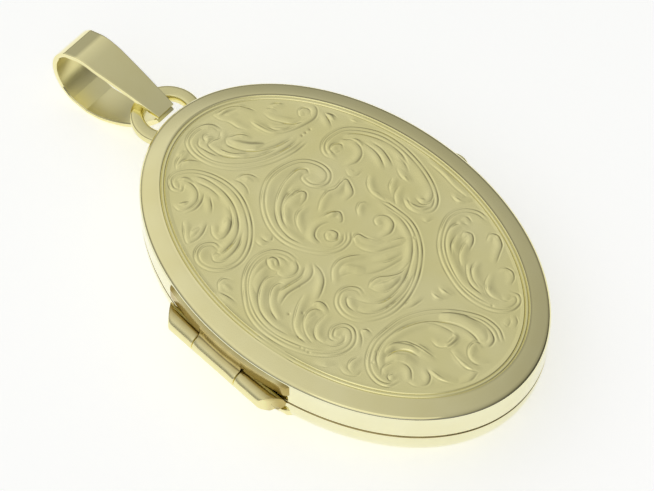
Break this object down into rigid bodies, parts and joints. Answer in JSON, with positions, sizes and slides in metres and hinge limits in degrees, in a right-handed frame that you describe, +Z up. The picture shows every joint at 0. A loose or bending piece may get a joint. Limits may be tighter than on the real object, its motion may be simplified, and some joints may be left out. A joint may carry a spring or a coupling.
{
  "type": "locket",
  "caption": "Oval hinged photo locket with a scroll-chased front, a side hinge, inner photo frames and a folded bail on a ring.",
  "frame": {"origin": "centre of the flat face of the back cover that the closed locket rests on", "axes": "+Z up out of the engraved front face, +Y towards the bail, +X towards the thumb tab, with the hinge on the -X side"},
  "size_m": [0.024, 0.0431, 0.0062],
  "materials": {
    "polished_gold": "polished",
    "satin_gold": "satin",
    "clear_window": "clear",
    "picture_card": "matte"
  },
  "bodies": {
    "back_half": {"back_cover": "polished_gold", "snap_rim": "satin_gold", "back_photo_frame": "polished_gold", "back_window": "clear_window", "back_picture_card": "picture_card", "back_hinge_leaf": "polished_gold", "upper_knuckle": "polished_gold", "lower_knuckle": "polished_gold", "hinge_pin": "polished_gold", "bail_ring": "polished_gold"},
    "front_half": {"front_cover": "polished_gold", "front_seat_rim": "satin_gold", "front_photo_frame": "polished_gold", "front_window": "clear_window", "front_picture_card": "picture_card", "front_hinge_leaf": "polished_gold", "middle_knuckle": "polished_gold", "thumb_tab": "polished_gold"},
    "bail_body": {"bail": "polished_gold"}
  },
  "joints": [
    {"name": "cover_hinge", "type": "hinge", "parent": "back_half", "child": "front_half", "pos_m": [-0.0112, 0, 0.00365], "axis": [0, -1, 0], "range_deg": [0, 160]},
    {"name": "bail_swing", "type": "hinge", "parent": "back_half", "child": "bail_body", "pos_m": [-0.00021, 0.01939, 0.00365], "axis": [0.9945, 0.1045, 0], "range_deg": [-90, 105]}
  ]
}
